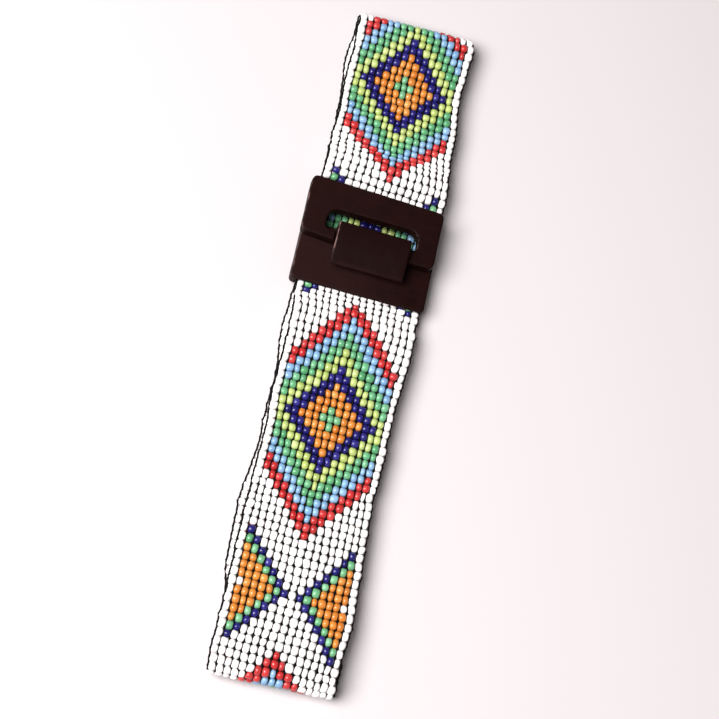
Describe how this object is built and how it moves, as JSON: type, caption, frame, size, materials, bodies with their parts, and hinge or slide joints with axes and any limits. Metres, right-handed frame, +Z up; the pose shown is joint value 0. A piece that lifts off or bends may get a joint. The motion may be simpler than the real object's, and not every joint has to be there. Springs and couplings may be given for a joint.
{
  "type": "elastic seed bead belt with a wooden hook buckle",
  "caption": "Stretch waist belt: a loomed band of glass seed beads in diamonds on white, closed by a dark wooden frame and hook buckle, lying fastened and flat.",
  "frame": {"origin": "on the surface under the middle of the folded belt's box", "axes": "+X across the belt, +Y along the folded belt towards the end that holds the buckle's frame, +Z up from the surface"},
  "size_m": [0.066, 0.3376, 0.0214],
  "materials": {
    "bead_white": "opaque glossy white glass seed beads",
    "bead_red": "opaque glossy red glass seed beads",
    "bead_light_blue": "opaque glossy light blue glass seed beads",
    "bead_green": "opaque glossy green glass seed beads",
    "bead_mint": "opaque glossy mint green glass seed beads",
    "bead_lime": "opaque glossy lime glass seed beads",
    "bead_navy": "opaque glossy navy glass seed beads",
    "bead_orange": "opaque glossy orange glass seed beads",
    "elastic_cord": "black covered elastic thread",
    "stained_wood": "carved wood, dark red-brown stain, satin wax"
  },
  "bodies": {
    "root": {"beaded_band": "bead_white", "buckle_frame": "stained_wood", "buckle_hook": "stained_wood"}
  },
  "joints": []
}
